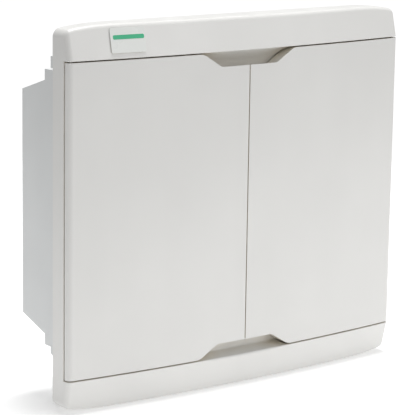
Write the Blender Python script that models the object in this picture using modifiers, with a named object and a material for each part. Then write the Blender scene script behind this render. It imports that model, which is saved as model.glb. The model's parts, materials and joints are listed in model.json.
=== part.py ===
"""Flush-mounted breaker panel box with two doors, modelled as its separate parts.

Run with: blender --background --python part.py
Units are metres. +Z is up, +Y goes into the wall and the wall surface is the plane Y = 0,
so the back box sits at positive Y and the surround and the doors stand out at negative Y.
The origin is the middle of the surround, on the wall surface.
"""

import math

import bmesh
import bpy
from mathutils import Matrix, Vector

MM = 0.001

# Outside of the surround and the doors.
HALF_WIDTH = 200 * MM
HALF_HEIGHT = 180 * MM
SIDE_DEPTH = 26 * MM            # how far the front stands out of the wall at its sides
BOW = 11 * MM                   # how much further it stands out in the middle
SIDE_ROUND = 5 * MM             # radius of the vertical front edges
RAIL_LEAN = 0.24                # the rails lean back this much for each unit of height
RAIL_ROUND = 4.5 * MM           # radius of the rails' outer front edges
END_DROP = 4 * MM               # the rails' outer edges fall by this much at their ends
END_LENGTH = 50 * MM            # over this length
CORNER_ROUND = 4 * MM
WALL = 2.5 * MM                 # moulded wall thickness
GAP = 0.3 * MM                  # between parts that touch
CUT_PAST = 2 * MM               # cutters reach this far past what they cut
OVERLAP = 1 * MM                # joined bodies reach this far into each other

# Blank badge on the upper rail.
BADGE_X = -137 * MM
BADGE_RISE = 16.5 * MM          # of its middle above the rail's lower edge
BADGE_WIDTH = 37 * MM
BADGE_HEIGHT = 23 * MM
BADGE_THICKNESS = 0.6 * MM
BADGE_GAP = 0.4 * MM            # at its middle, which the rail's bow brings closest

# Doors and the seams around them.
DOOR_HALF_HEIGHT = 147.3 * MM
RAIL_SEAM = 148.5 * MM          # inner edge of each rail
MIDDLE_GAP = 1.2 * MM
DOOR_EDGE_DEPTH = 11 * MM       # depth of the doors' return walls where they meet
STILE_WIDTH = 13 * MM           # solid hinge edge of a door
DOOR_OPEN_BACK = -5 * MM        # the cutters of a door end here, behind all of it
CUTTER_FRONT = -60 * MM         # and start here, in front of it
PIVOT_X = HALF_WIDTH - SIDE_ROUND
PIVOT_Y = -21.5 * MM
BARREL_RADIUS = 5 * MM
BARREL_START = 8                 # degrees round the pivot where the barrel leaves the front
GUTTER_RADIUS = 5.4 * MM
TIP_CHAMFER = 0.9 * MM
TIP_ANGLE = 41                   # degrees round the pivot where the gutter starts
PIN_RADIUS = 1.5 * MM
PIN_BORE = 1.9 * MM
PIN_HALF_LENGTH = 9 * MM
BORE_DEPTH = 11 * MM            # of a pivot bore in a door
SEAT_DEPTH = 8.8 * MM           # of a pivot bore in the surround
SEAT_HEIGHT = 10 * MM
SEAT_REACH = 6 * MM             # of a pivot seat, inward from the pivot
SEAT_STEPS = 5
SIDE_SHELF = 8 * MM             # the side walls' inner shelf reaches this far in from the pivots
FRONT_START = 10 * MM           # a door's bowed front is sampled beyond this, from its meeting edge

# Finger pulls cut into the doors where they meet, at the top and the bottom.
PULL_HALF_FLOOR = 33.8 * MM
PULL_DEPTH = 13 * MM
PULL_FALL = 3.2 * MM              # of the pull's floor, towards its back
PULL_SLOPE = math.radians(31.5)
PULL_FLOOR_ROUND = 10 * MM
PULL_SHOULDER_ROUND = 16 * MM
PULL_LEAST_ROUND = 2 * MM
COVE_RADIUS = 14 * MM
COVE_BACK = -22 * MM
COVE_HALF_WIDTH = 58 * MM
COVE_CLEARANCE = 1.2 * MM
COVE_LIP = 2 * MM               # the pocket's body starts this far behind the scoop's axis
COVE_INNER = 129 * MM           # the back wall reaches in to this distance from the middle
RAMP_RISE = 3.2 * MM            # of the lower pocket's floor, towards its back
RAMP_ROUND = 2.5 * MM
RAMP_DEPTH = 12 * MM

# Magnetic catches near the top of the doors. A strike sits on a boss inside its door.
CATCH_X = 82 * MM
CATCH_Z = 139 * MM
CATCH_HALF_LENGTH = 11 * MM
CATCH_HALF_HEIGHT = 4.5 * MM
MAGNET_FRONT = -24.5 * MM
STRIKE_BACK = -25.1 * MM
STRIKE_THICKNESS = 1.2 * MM
STRIKE_MARGIN = 0.5 * MM        # the strike is smaller than its boss by this on each side
BOSS_FRONT = -33.2 * MM

# Flange of the surround behind the doors, and the window in it.
FLANGE_FRONT = -14 * MM
FLANGE_BACK = -12 * MM
WINDOW_HALF_WIDTH = 168 * MM
WINDOW_HALF_HEIGHT = 128 * MM

# Back box, centred a little above the middle of the surround.
BOX_RAISE = 5.5 * MM
BOX_HALF_WIDTH = 190 * MM
BOX_DEPTH = 68 * MM
COLLAR_DEPTH = 28 * MM
COLLAR_HALF_HEIGHT = 130.5 * MM
TAPER_HALF_WIDTH = 189.4 * MM
TAPER_HALF_HEIGHT = 120.5 * MM
REAR_HALF_WIDTH = 188.6 * MM
REAR_HALF_HEIGHT = 107.5 * MM
RIM_LOW = -135 * MM
RIM_HIGH = 149 * MM
RIM_THICKNESS = 3.5 * MM
RIM_PROUD = 0.6 * MM            # the rim stands this far out of the box's side walls
LUG_DEPTH = 17.8 * MM
LUG_WIDTH = 6 * MM
LUG_PROUD = 0.3 * MM
LUG_CORNER = 1 * MM
TOP_LUG_HEIGHT = 11 * MM
BOTTOM_LUG_SLOPE = (7 * MM, 4 * MM)
KNOCKOUT_RADIUS = 10 * MM
KNOCKOUT_RECESS = 0.8 * MM
KNOCKOUT_DEPTH = 16 * MM        # of their middles behind the wall surface
KNOCKOUT_PLACES = (-120 * MM, -40 * MM, 40 * MM, 120 * MM)

# Rows of devices on their rails.
ROW_PITCH = 125 * MM
MODULE = 17.5 * MM
MODULES_PER_ROW = 18
RAIL_FACE = 41 * MM
NOSE_DEPTH = 58 * MM
SHOULDER_DEPTH = 44 * MM
NOSE_HALF_HEIGHT = 22.5 * MM
DEVICE_HALF_HEIGHT = 42 * MM
DEVICE_GAP = 0.4 * MM
SLOT_HALF_HEIGHT = 23 * MM
SLOT_END_GAP = 0.5 * MM
ROWS = {"upper": BOX_RAISE + ROW_PITCH / 2, "lower": BOX_RAISE - ROW_PITCH / 2}
NOSE_FRONT = RAIL_FACE - NOSE_DEPTH

# Top-hat rails and the uprights behind them.
DIN_HALF_LENGTH = 172 * MM
DIN_HALF_HEIGHT = 17.5 * MM
DIN_HALF_CROWN = 13.5 * MM
DIN_DEPTH = 7.5 * MM
DIN_SHEET = 1 * MM
UPRIGHT_INNER = 158 * MM
UPRIGHT_OUTER = 170 * MM
UPRIGHT_HALF_HEIGHT = 100 * MM
UPRIGHT_SHEET = 1.5 * MM

# Hooks of the devices round the rails' lips.
HOOK_LIP = DIN_HALF_HEIGHT + 0.4 * MM
HOOK_TIP = DIN_HALF_HEIGHT - 2.3 * MM
HOOK_FRONT = 1.3 * MM
HOOK_REAR = 5 * MM

# Toggles, and the test button.
TOGGLE_PIVOT_Y = NOSE_FRONT + 4.5 * MM
TOGGLE_DRUM = 4.6 * MM
TOGGLE_REACH = 12.3 * MM
TOGGLE_TIP = (1.7 * MM, 0.9 * MM)   # half thickness behind the tip and at it
TOGGLE_TIP_LENGTH = 0.8 * MM
TOGGLE_WIDTH = 7 * MM
WIDE_TOGGLE_WIDTH = 13 * MM
RCD_TOGGLE_SHIFT = 5 * MM       # to the left, which leaves room for the test button
POCKET_GAP = 0.6 * MM
POCKET_HALF_HEIGHT = 9.5 * MM
BUTTON_HALF_WIDTH = 3 * MM
BUTTON_INSET = 8 * MM           # of its middle from the device's right side
BUTTON_TRAVEL = 1.2 * MM
BUTTON_LENGTH = 8.4 * MM
BUTTON_GAP = 0.4 * MM
TOGGLE_TILT = math.radians(28)  # the lever points up by this much when it is switched on

# Dead-front cover.
COVER_FRONT = -11.7 * MM
COVER_THICKNESS = 2.5 * MM
COVER_HALF_WIDTH = 184 * MM
COVER_HALF_HEIGHT = 131 * MM

# Screws that hold the surround and the cover on the back box's posts.
SCREW_X = 178 * MM
SCREW_Z = 121 * MM
SCREW_HOLE = 2.4 * MM
SCREW_SHANK = 1.9 * MM
SCREW_HEAD = 4.2 * MM
SCREW_HEAD_HEIGHT = 2.4 * MM
SCREW_END = 15 * MM
SCREW_SLOT_WIDTH = 1.2 * MM
SCREW_SLOT_DEPTH = 1 * MM
POST_HALF_WIDTH = 6 * MM
POST_BORE = 2.3 * MM
POST_BORE_END = 18 * MM

# Blanking strips, label strips, comb busbars and terminal bars.
BLANK_LIP = 2 * MM
BLANK_THICKNESS = 1.5 * MM
LABEL_RISE = 4 * MM
LABEL_HEIGHT = 9 * MM
LABEL_THICKNESS = 0.8 * MM
COMB_FRONT = 14 * MM
COMB_THICKNESS = 3 * MM
COMB_TOOTH = 7 * MM
COMB_TOOTH_WIDTH = 5 * MM
COMB_BAR = 7 * MM
COMB_END = 6 * MM
BAR_OFFSET = 116 * MM           # of a bar from the box's middle height
BAR_FRONT = 6 * MM
BAR_SIZE = 9 * MM
BAR_LENGTH = 110 * MM
BAR_HOLES = 8
BAR_HOLE = 2.2 * MM
HOLDER_MARGIN = 1.5 * MM
HOLDER_END = 6 * MM
HOLDER_EDGE = 1 * MM
NEUTRAL_START = -140 * MM
EARTH_START = 25 * MM

# Devices of each row from the left: name and width in modules.
UPPER_DEVICES = [("main_switch", 2), ("rcd", 2)] + [(f"mcb_{i}", 1) for i in range(1, 6)]
LOWER_DEVICES = [(f"mcb_{i}", 1) for i in range(6, 12)]

PARTS_COLLECTION = "breaker_panel_box"
TOOLS_COLLECTION = "cutters"


# ---------------------------------------------------------------- scene and materials

def start_scene():
    """Empty the scene and make one collection for the parts and one for the cutters."""
    for obj in list(bpy.data.objects):
        bpy.data.objects.remove(obj, do_unlink=True)
    for name in (PARTS_COLLECTION, TOOLS_COLLECTION):
        collection = bpy.data.collections.get(name) or bpy.data.collections.new(name)
        if name not in bpy.context.scene.collection.children:
            bpy.context.scene.collection.children.link(collection)


def material(name, colour, roughness, metallic=0.0):
    """Return the named material, made on first use."""
    existing = bpy.data.materials.get(name)
    if existing:
        return existing
    made = bpy.data.materials.new(name)
    made.use_nodes = True
    shader = made.node_tree.nodes["Principled BSDF"]
    shader.inputs["Base Color"].default_value = (*colour, 1.0)
    shader.inputs["Roughness"].default_value = roughness
    shader.inputs["Metallic"].default_value = metallic
    made.diffuse_color = (*colour, 1.0)
    return made


def shell_plastic():
    return material("shell_plastic", (0.80, 0.80, 0.78), 0.35)


def box_plastic():
    return material("box_plastic", (0.68, 0.70, 0.71), 0.5)


def device_plastic():
    return material("device_plastic", (0.86, 0.86, 0.84), 0.45)


def steel():
    return material("steel", (0.62, 0.62, 0.60), 0.3, 1.0)


def brass():
    return material("brass", (0.78, 0.60, 0.28), 0.3, 1.0)


# ---------------------------------------------------------------- building blocks

def place(name, mesh, finish, location=(0, 0, 0), rotation=(0, 0, 0)):
    """Put a mesh in the parts collection as a named object."""
    obj = bpy.data.objects.new(name, mesh)
    obj.location = location
    obj.rotation_euler = rotation
    if finish:
        mesh.materials.append(finish)
    bpy.data.collections[PARTS_COLLECTION].objects.link(obj)
    bpy.context.view_layer.update()
    return obj


def mesh_from(build, name):
    """Make a mesh from a function that fills a bmesh."""
    work = bmesh.new()
    build(work)
    bmesh.ops.recalc_face_normals(work, faces=work.faces)
    mesh = bpy.data.meshes.new(name)
    work.to_mesh(mesh)
    work.free()
    return mesh


def box(name, low, high, finish=None):
    """A box between two corners."""
    low, high = Vector(low), Vector(high)
    size = Matrix.Diagonal((*(high - low), 1.0))
    mesh = mesh_from(lambda work: bmesh.ops.create_cube(work, size=1, matrix=size), name)
    return place(name, mesh, finish, (low + high) / 2)


def cylinder(name, radius, start, end, finish=None, segments=16):
    """A cylinder between two points of a line along X, Y or Z."""
    start, end = Vector(start), Vector(end)
    along = end - start
    turn = along.to_track_quat("Z", "Y").to_euler()

    def build(work):
        bmesh.ops.create_cone(work, cap_ends=True, segments=segments, radius1=radius,
                              radius2=radius, depth=along.length)

    return place(name, mesh_from(build, name), finish, (start + end) / 2, turn)


AXIS_TURNS = {
    "X": (math.pi / 2, 0, math.pi / 2),     # outline points are (y, z)
    "Y": (math.pi / 2, 0, 0),               # outline points are (x, z)
    "Z": (0, 0, 0),                         # outline points are (x, y)
}


def prism(name, outline, axis, low, high, finish=None):
    """A flat outline drawn across an axis and extruded along it from low to high."""
    curve = bpy.data.curves.new(name, "CURVE")
    curve.dimensions = "2D"
    curve.fill_mode = "BOTH"
    curve.extrude = (high - low) / 2
    spline = curve.splines.new("POLY")
    spline.points.add(len(outline) - 1)
    for point, (across, up) in zip(spline.points, outline):
        point.co = (across, up, 0, 1)
    spline.use_cyclic_u = True
    middle = (high + low) / 2
    # Turning the outline to face along Y points its own Z axis towards -Y.
    location = {"X": (middle, 0, 0), "Y": (0, middle, 0), "Z": (0, 0, middle)}[axis]
    drawn = bpy.data.objects.new(name + "_curve", curve)
    bpy.context.scene.collection.objects.link(drawn)
    bpy.context.view_layer.update()
    evaluated = drawn.evaluated_get(bpy.context.evaluated_depsgraph_get())
    mesh = bpy.data.meshes.new_from_object(evaluated)
    bpy.data.objects.remove(drawn, do_unlink=True)
    work = bmesh.new()
    work.from_mesh(mesh)
    bmesh.ops.remove_doubles(work, verts=work.verts, dist=0.001 * MM)
    bmesh.ops.recalc_face_normals(work, faces=work.faces)
    work.to_mesh(mesh)
    work.free()
    mesh.name = name
    mesh.materials.clear()
    return place(name, mesh, finish, location, AXIS_TURNS[axis])


def loft(name, rings, finish=None):
    """A closed skin over rings of points that have the same count, capped at both ends."""
    def build(work):
        layers = [[work.verts.new(point) for point in ring] for ring in rings]
        count = len(layers[0])
        for ring, following in zip(layers, layers[1:]):
            for i in range(count):
                j = (i + 1) % count
                work.faces.new((ring[i], ring[j], following[j], following[i]))
        work.faces.new(layers[0])
        work.faces.new(layers[-1])

    return place(name, mesh_from(build, name), finish)


def combine(target, tool, operation):
    """Cut a tool from a part, or join it on, and put the tool with the cutters."""
    modifier = target.modifiers.new(tool.name, "BOOLEAN")
    modifier.operation = operation
    modifier.solver = "EXACT"
    modifier.object = tool
    tool.hide_render = True
    tool.display_type = "WIRE"
    bpy.data.collections[PARTS_COLLECTION].objects.unlink(tool)
    bpy.data.collections[TOOLS_COLLECTION].objects.link(tool)


def cut(target, tool):
    combine(target, tool, "DIFFERENCE")


def join(target, tool):
    combine(target, tool, "UNION")


def arc(centre, radius, start, end, segments):
    """Points of an arc, with both ends, for angles in degrees."""
    angles = [math.radians(start + (end - start) * i / segments) for i in range(segments + 1)]
    return [(centre[0] + radius * math.cos(a), centre[1] + radius * math.sin(a)) for a in angles]


def rounded(corners, segments=3):
    """An outline whose corners, given as (x, y, radius), are rounded with arcs."""
    points = []
    count = len(corners)
    for i, (x, y, radius) in enumerate(corners):
        corner = Vector((x, y))
        if radius == 0:
            points.append(tuple(corner))
            continue
        before = (Vector(corners[i - 1][:2]) - corner).normalized()
        after = (Vector(corners[(i + 1) % count][:2]) - corner).normalized()
        half = before.angle(after) / 2
        centre = corner + (before + after).normalized() * radius / math.sin(half)
        first = corner + before * radius / math.tan(half) - centre
        last = corner + after * radius / math.tan(half) - centre
        for step in range(segments + 1):
            direction = first.lerp(last, step / segments).normalized()
            points.append(tuple(centre + direction * radius))
    return points


def mirrored(outline):
    """The same outline with its first coordinate turned over."""
    return [(-across, up) for across, up in reversed(outline)]


# ---------------------------------------------------------------- the bowed front

def bow_depth(x):
    """How far the bowed front stands out of the wall."""
    return SIDE_DEPTH + BOW * (1 - (x / HALF_WIDTH) ** 2)


def round_off(distance, radius):
    """How far a rounded edge falls back at a distance past the start of its rounding."""
    distance = min(max(distance, 0.0), radius)
    return radius - math.sqrt(radius ** 2 - distance ** 2)


def front_depth(x):
    """The bowed front with its vertical side edges rounded."""
    return bow_depth(x) - round_off(abs(x) - PIVOT_X, SIDE_ROUND)


def half_height(x):
    """Half the height of the surround, which falls a little towards its ends."""
    end = max(0.0, abs(x) - (HALF_WIDTH - END_LENGTH)) / END_LENGTH
    corner = round_off(abs(x) - (HALF_WIDTH - CORNER_ROUND), CORNER_ROUND)
    return HALF_HEIGHT - END_DROP * end ** 2 - corner


def stations(inset=0.0, steps=9):
    """Places along X for the sections of a rail, close together round its ends."""
    end = HALF_WIDTH - inset
    rounding = [end - SIDE_ROUND * (1 - math.sin(math.radians(a))) for a in (90, 65, 40, 15)]
    flat = [(end - 1.4 * SIDE_ROUND) * (1 - i / steps) for i in range(steps + 1)]
    half = rounding + flat
    return half + [-x for x in reversed(half[:-1])]


def rail_ring(x, inset, back, side):
    """Section of a rail at x: front foot, leaning front, rounded edge, outer face, ledge."""
    depth = front_depth(x) - inset
    ledge = RAIL_SEAM + inset
    edge_round = RAIL_ROUND - inset / 2
    top = half_height(x) - inset
    edge = top - edge_round
    lean = math.degrees(math.atan(RAIL_LEAN))
    edge_y = -depth + RAIL_LEAN * (edge - ledge)
    edge_centre = (edge_y + edge_round, edge)
    outline = [(-depth, ledge)] + arc(edge_centre, edge_round, 180 - lean, 90, 3)
    outline += [(back, top), (back, ledge)]
    return [(x, y, side * z) for y, z in outline]


def make_rail(name, side, inset=0.0, back=0.0, finish=None):
    """Outer body of a rail, or its hollow when it is inset. Side is 1 at the top."""
    return loft(name, [rail_ring(x, inset, back, side) for x in stations(inset)], finish)


def pull_outline(side, grow, drop):
    """Outline (x, z) of a finger pull, its walls moved out by grow and its floor lowered by drop."""
    floor = DOOR_HALF_HEIGHT - PULL_DEPTH - grow - drop
    half_floor = PULL_HALF_FLOOR + grow * math.tan(PULL_SLOPE / 2) - drop / math.tan(PULL_SLOPE)
    shoulder = half_floor + (PULL_DEPTH + grow + drop) / math.tan(PULL_SLOPE)
    outer = shoulder + 3 * PULL_DEPTH
    above = DOOR_HALF_HEIGHT + CUT_PAST
    half = [
        (half_floor, floor, PULL_FLOOR_ROUND),
        (shoulder, DOOR_HALF_HEIGHT, max(PULL_SHOULDER_ROUND - grow, PULL_LEAST_ROUND)),
        (outer, DOOR_HALF_HEIGHT + GAP, 0),
        (outer, above, 0),
    ]
    corners = half + [(-x, z, radius) for x, z, radius in reversed(half)]
    return [(x, side * z) for x, z in rounded(corners)]


def pull_cutter(name, side, grow, back):
    """Space of a finger pull. Its floor falls away behind the door's front."""
    front, rear = -bow_depth(0), DOOR_EDGE_DEPTH - bow_depth(0)
    places = [(CUTTER_FRONT, 0), (front, 0), (rear, PULL_FALL), (back, PULL_FALL)]
    rings = [[(x, y, z) for x, z in pull_outline(side, grow, drop)] for y, drop in places]
    return loft(name, rings)


def cove_outline(side):
    """Outline (x, z) of the pocket's body inside a finger pull, clear of the doors' walls."""
    floor = DOOR_HALF_HEIGHT - PULL_DEPTH + COVE_CLEARANCE
    half_floor = PULL_HALF_FLOOR - COVE_CLEARANCE * math.tan(PULL_SLOPE / 2)
    top = RAIL_SEAM + OVERLAP
    half_top = half_floor + (top - floor) / math.tan(PULL_SLOPE)
    return [(-half_floor, side * floor), (half_floor, side * floor),
            (half_top, side * top), (-half_top, side * top)]


# ---------------------------------------------------------------- surround

def side_wall_outline():
    """Plan (x, y) of the surround's right side wall, with the gutter for the door's edge."""
    gutter = arc((PIVOT_X, PIVOT_Y), GUTTER_RADIUS, TIP_ANGLE, 90, 5)
    tip = (HALF_WIDTH, gutter[0][1] + TIP_CHAMFER)
    inner = HALF_WIDTH - WALL
    shelf = PIVOT_X - SIDE_SHELF
    return [(HALF_WIDTH, 0), tip] + gutter + [
        (shelf, FLANGE_FRONT), (shelf, FLANGE_BACK), (inner, FLANGE_BACK), (inner, 0),
    ]


def scoop_outline(side):
    """Side view (y, z) of the hand space in a pocket: a deep curve above, a ramp below."""
    crease, radius = (RAIL_SEAM, COVE_RADIUS) if side > 0 else (RAIL_SEAM - RAMP_RISE, RAMP_ROUND)
    edge = COVE_BACK - (COVE_RADIUS if side > 0 else RAMP_DEPTH)
    inner = COVE_INNER - OVERLAP
    corners = [(CUTTER_FRONT, inner, 0), (COVE_BACK, inner, 0), (COVE_BACK, crease, radius),
               (edge, RAIL_SEAM, 0), (CUTTER_FRONT, RAIL_SEAM, 0)]
    return [(y, side * z) for y, z in rounded(corners)]


def add_cove(frame, side):
    """Pocket behind a finger pull, with a back wall that reaches past the doors' edges."""
    end = "top" if side > 0 else "bottom"
    low, high = sorted((side * COVE_INNER, side * (RAIL_SEAM + 1.2 * OVERLAP)))
    back = box(f"cove_back_{end}", (-COVE_HALF_WIDTH, COVE_BACK, low),
               (COVE_HALF_WIDTH, FLANGE_BACK - OVERLAP, high))
    front = prism(f"cove_front_{end}", cove_outline(side), "Y",
                  COVE_BACK - COVE_RADIUS + COVE_LIP, COVE_BACK + OVERLAP)
    half = COVE_HALF_WIDTH + CUT_PAST
    cut(front, prism(f"cove_scoop_{end}", scoop_outline(side), "X", -half, half))
    join(frame, back)
    join(frame, front)


def seat_ring(x, side):
    """Section of a hinge seat at x, its front just inside the rail's leaning front."""
    low, high = RAIL_SEAM + OVERLAP, RAIL_SEAM + SEAT_HEIGHT
    front = OVERLAP - front_depth(x)
    back = PIVOT_Y + BARREL_RADIUS
    outline = [(front + RAIL_LEAN * (low - RAIL_SEAM), low),
               (front + RAIL_LEAN * (high - RAIL_SEAM), high), (back, high), (back, low)]
    return [(x, y, side * z) for y, z in outline]


def add_hinge_seat(frame, side_x, side_z):
    """Block in a rail's end that takes a door's pivot pin."""
    name = f"{'right' if side_x > 0 else 'left'}_{'top' if side_z > 0 else 'bottom'}"
    first, last = PIVOT_X - SEAT_REACH, HALF_WIDTH - OVERLAP
    places = [first + (last - first) * i / SEAT_STEPS for i in range(SEAT_STEPS + 1)]
    join(frame, loft(f"hinge_seat_{name}", [seat_ring(side_x * x, side_z) for x in places]))
    low, high = sorted((side_z * (RAIL_SEAM - CUT_PAST), side_z * (RAIL_SEAM + SEAT_DEPTH)))
    cut(frame, cylinder(f"hinge_seat_bore_{name}", PIN_BORE, (side_x * PIVOT_X, PIVOT_Y, low),
                        (side_x * PIVOT_X, PIVOT_Y, high)))


def make_front_frame():
    """Surround: a leaning rail above and below, side walls, and a flange with a window."""
    frame = make_rail("front_frame", 1, finish=shell_plastic())
    join(frame, make_rail("bottom_rail_body", -1))
    height = RAIL_SEAM + 1.5 * OVERLAP
    join(frame, prism("right_side_wall", side_wall_outline(), "Z", -height, height))
    join(frame, prism("left_side_wall", mirrored(side_wall_outline()), "Z", -height, height))
    reach = PIVOT_X - SIDE_SHELF + OVERLAP
    join(frame, box("flange", (-reach, FLANGE_FRONT, -height), (reach, FLANGE_BACK, height)))
    front, back = FLANGE_FRONT - CUT_PAST, FLANGE_BACK + CUT_PAST
    cut(frame, box("window", (-WINDOW_HALF_WIDTH, front, BOX_RAISE - WINDOW_HALF_HEIGHT),
                   (WINDOW_HALF_WIDTH, back, BOX_RAISE + WINDOW_HALF_HEIGHT)))
    for side, end in ((1, "top"), (-1, "bottom")):
        cut(frame, make_rail(f"{end}_rail_hollow", side, WALL, CUT_PAST / 2))
        add_cove(frame, side)
        for side_x in (-1, 1):
            add_hinge_seat(frame, side_x, side)
    for name, x, z in screw_places():
        cut(frame, cylinder(f"flange_hole_{name}", SCREW_HOLE, (x, front, z), (x, back, z)))
    return frame


def make_badge():
    """Thin blank badge on the upper rail, lying along its bow and lean."""
    depth = bow_depth(BADGE_X) - RAIL_LEAN * BADGE_RISE
    slope = math.atan(2 * BOW * BADGE_X / HALF_WIDTH ** 2)
    lean = math.atan(RAIL_LEAN)
    corner = Vector((BADGE_WIDTH, BADGE_THICKNESS, BADGE_HEIGHT)) / 2
    stand_off = BADGE_GAP + BADGE_THICKNESS / 2
    badge = box("badge_plate", -corner, corner, material("badge", (0.87, 0.88, 0.86), 0.3))
    badge.location = (BADGE_X, -depth - stand_off / math.cos(lean), RAIL_SEAM + BADGE_RISE)
    badge.rotation_euler = (-lean, 0, slope)
    bevel = badge.modifiers.new("corners", "BEVEL")
    bevel.width = 0.15 * MM
    bevel.segments = 1


# ---------------------------------------------------------------- doors

def door_outline():
    """Plan (x, y) of the right door's outer body, from its meeting edge round to its hinge."""
    meeting = MIDDLE_GAP / 2
    inner_end = meeting, DOOR_EDGE_DEPTH - bow_depth(0)
    front = [(x, -front_depth(x)) for x in reversed(stations()) if x > FRONT_START]
    barrel = arc((PIVOT_X, PIVOT_Y), BARREL_RADIUS, BARREL_START, 90, 4)
    return ([inner_end, (meeting, -bow_depth(meeting))] + front + barrel
            + [(PIVOT_X - BARREL_RADIUS, PIVOT_Y + BARREL_RADIUS)])


def door_hollow_outline():
    """Plan (x, y) of the space inside the right door."""
    first = MIDDLE_GAP / 2 + WALL
    last = HALF_WIDTH - STILE_WIDTH
    steps = 9
    xs = [first + (last - first) * i / steps for i in range(steps + 1)]
    return [(x, WALL - bow_depth(x)) for x in xs] + [(last, DOOR_OPEN_BACK),
                                                     (first, DOOR_OPEN_BACK)]


def make_door(name, side):
    """A hollow door with a solid rounded hinge edge and a cut-out at each meeting corner."""
    def facing(outline):
        return outline if side > 0 else mirrored(outline)

    height = DOOR_HALF_HEIGHT
    door = prism(name, facing(door_outline()), "Z", -height, height, shell_plastic())
    hollow = prism(f"{name}_hollow", facing(door_hollow_outline()), "Z",
                   WALL - height, height - WALL)
    for end in (-1, 1):
        label = "top" if end > 0 else "bottom"
        cut(door, pull_cutter(f"{name}_{label}_pull", end, 0, 0))
        cut(hollow, pull_cutter(f"{name}_{label}_pull_wall", end, WALL, CUT_PAST))
    cut(door, hollow)
    for end in (-1, 1):
        label = "top" if end > 0 else "bottom"
        low, high = sorted((end * (height - BORE_DEPTH), end * (height + CUT_PAST)))
        cut(door, cylinder(f"{name}_{label}_bore", PIN_BORE, (side * PIVOT_X, PIVOT_Y, low),
                           (side * PIVOT_X, PIVOT_Y, high)))
    join(door, catch_box(f"{name}_catch_boss", side, BOSS_FRONT,
                         STRIKE_BACK - STRIKE_THICKNESS - GAP))
    strike = catch_box(f"catch_strike_{'right' if side > 0 else 'left'}", side,
                       STRIKE_BACK - STRIKE_THICKNESS, STRIKE_BACK, STRIKE_MARGIN, steel())
    pivot = pivot_empty(f"{name}_pivot", (side * PIVOT_X, PIVOT_Y, 0))
    for piece in (door, strike):
        piece.parent = pivot
        piece.matrix_parent_inverse = pivot.matrix_world.inverted()


def pivot_empty(name, location):
    """An empty that marks a joint's place."""
    empty = bpy.data.objects.new(name, None)
    empty.location = location
    empty.empty_display_size = 10 * MM
    bpy.data.collections[PARTS_COLLECTION].objects.link(empty)
    bpy.context.view_layer.update()
    return empty


def catch_box(name, side, front, back, margin=0.0, finish=None):
    """A block at a catch's place, from one depth to another."""
    centre = side * CATCH_X
    half_length, half_height = CATCH_HALF_LENGTH - margin, CATCH_HALF_HEIGHT - margin
    return box(name, (centre - half_length, front, CATCH_Z - half_height),
               (centre + half_length, back, CATCH_Z + half_height), finish)


def make_catch_magnets():
    """A magnet on the flange for each door's strike."""
    for side, name in ((-1, "left"), (1, "right")):
        catch_box(f"catch_magnet_{name}", side, MAGNET_FRONT, FLANGE_FRONT - GAP,
                  finish=material("magnet_holder", (0.10, 0.10, 0.11), 0.5))


def make_hinge_pins():
    """Four steel pivot pins, one at each end of each door's hinge edge."""
    middle = (DOOR_HALF_HEIGHT + RAIL_SEAM) / 2
    for side_x, name_x in ((-1, "left"), (1, "right")):
        for side_z, name_z in ((-1, "bottom"), (1, "top")):
            centre = side_z * middle
            cylinder(f"hinge_pin_{name_x}_{name_z}", PIN_RADIUS,
                     (side_x * PIVOT_X, PIVOT_Y, centre - PIN_HALF_LENGTH),
                     (side_x * PIVOT_X, PIVOT_Y, centre + PIN_HALF_LENGTH), steel(), 12)


# ---------------------------------------------------------------- back box

def box_section(half_width, half_height, y):
    """Corners of the back box's section at a depth."""
    low, high = BOX_RAISE - half_height, BOX_RAISE + half_height
    return [(-half_width, y, low), (half_width, y, low),
            (half_width, y, high), (-half_width, y, high)]


def box_body(name, inset, front, finish=None):
    """Stepped and tapered body of the back box, or its hollow when it is inset."""
    step = COLLAR_DEPTH - inset
    rings = [
        box_section(BOX_HALF_WIDTH - inset, COLLAR_HALF_HEIGHT - inset, front),
        box_section(BOX_HALF_WIDTH - inset, COLLAR_HALF_HEIGHT - inset, step),
        box_section(TAPER_HALF_WIDTH - inset, TAPER_HALF_HEIGHT - inset, step),
        box_section(REAR_HALF_WIDTH - inset, REAR_HALF_HEIGHT - inset, BOX_DEPTH - inset),
    ]
    return loft(name, rings, finish)


def lug_outline(top):
    """Side view (y, z) of a corner lug behind the rim."""
    start = RIM_THICKNESS - OVERLAP
    if top:
        under = RIM_HIGH - TOP_LUG_HEIGHT
        corner = LUG_CORNER
        return [(start, under), (LUG_DEPTH, under), (LUG_DEPTH, RIM_HIGH - corner),
                (LUG_DEPTH - corner, RIM_HIGH), (start, RIM_HIGH)]
    above = BOX_RAISE - COLLAR_HALF_HEIGHT + OVERLAP
    across, up = BOTTOM_LUG_SLOPE
    return [(start, above), (LUG_DEPTH, above), (LUG_DEPTH, RIM_LOW + up),
            (LUG_DEPTH - across, RIM_LOW), (start, RIM_LOW)]


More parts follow.
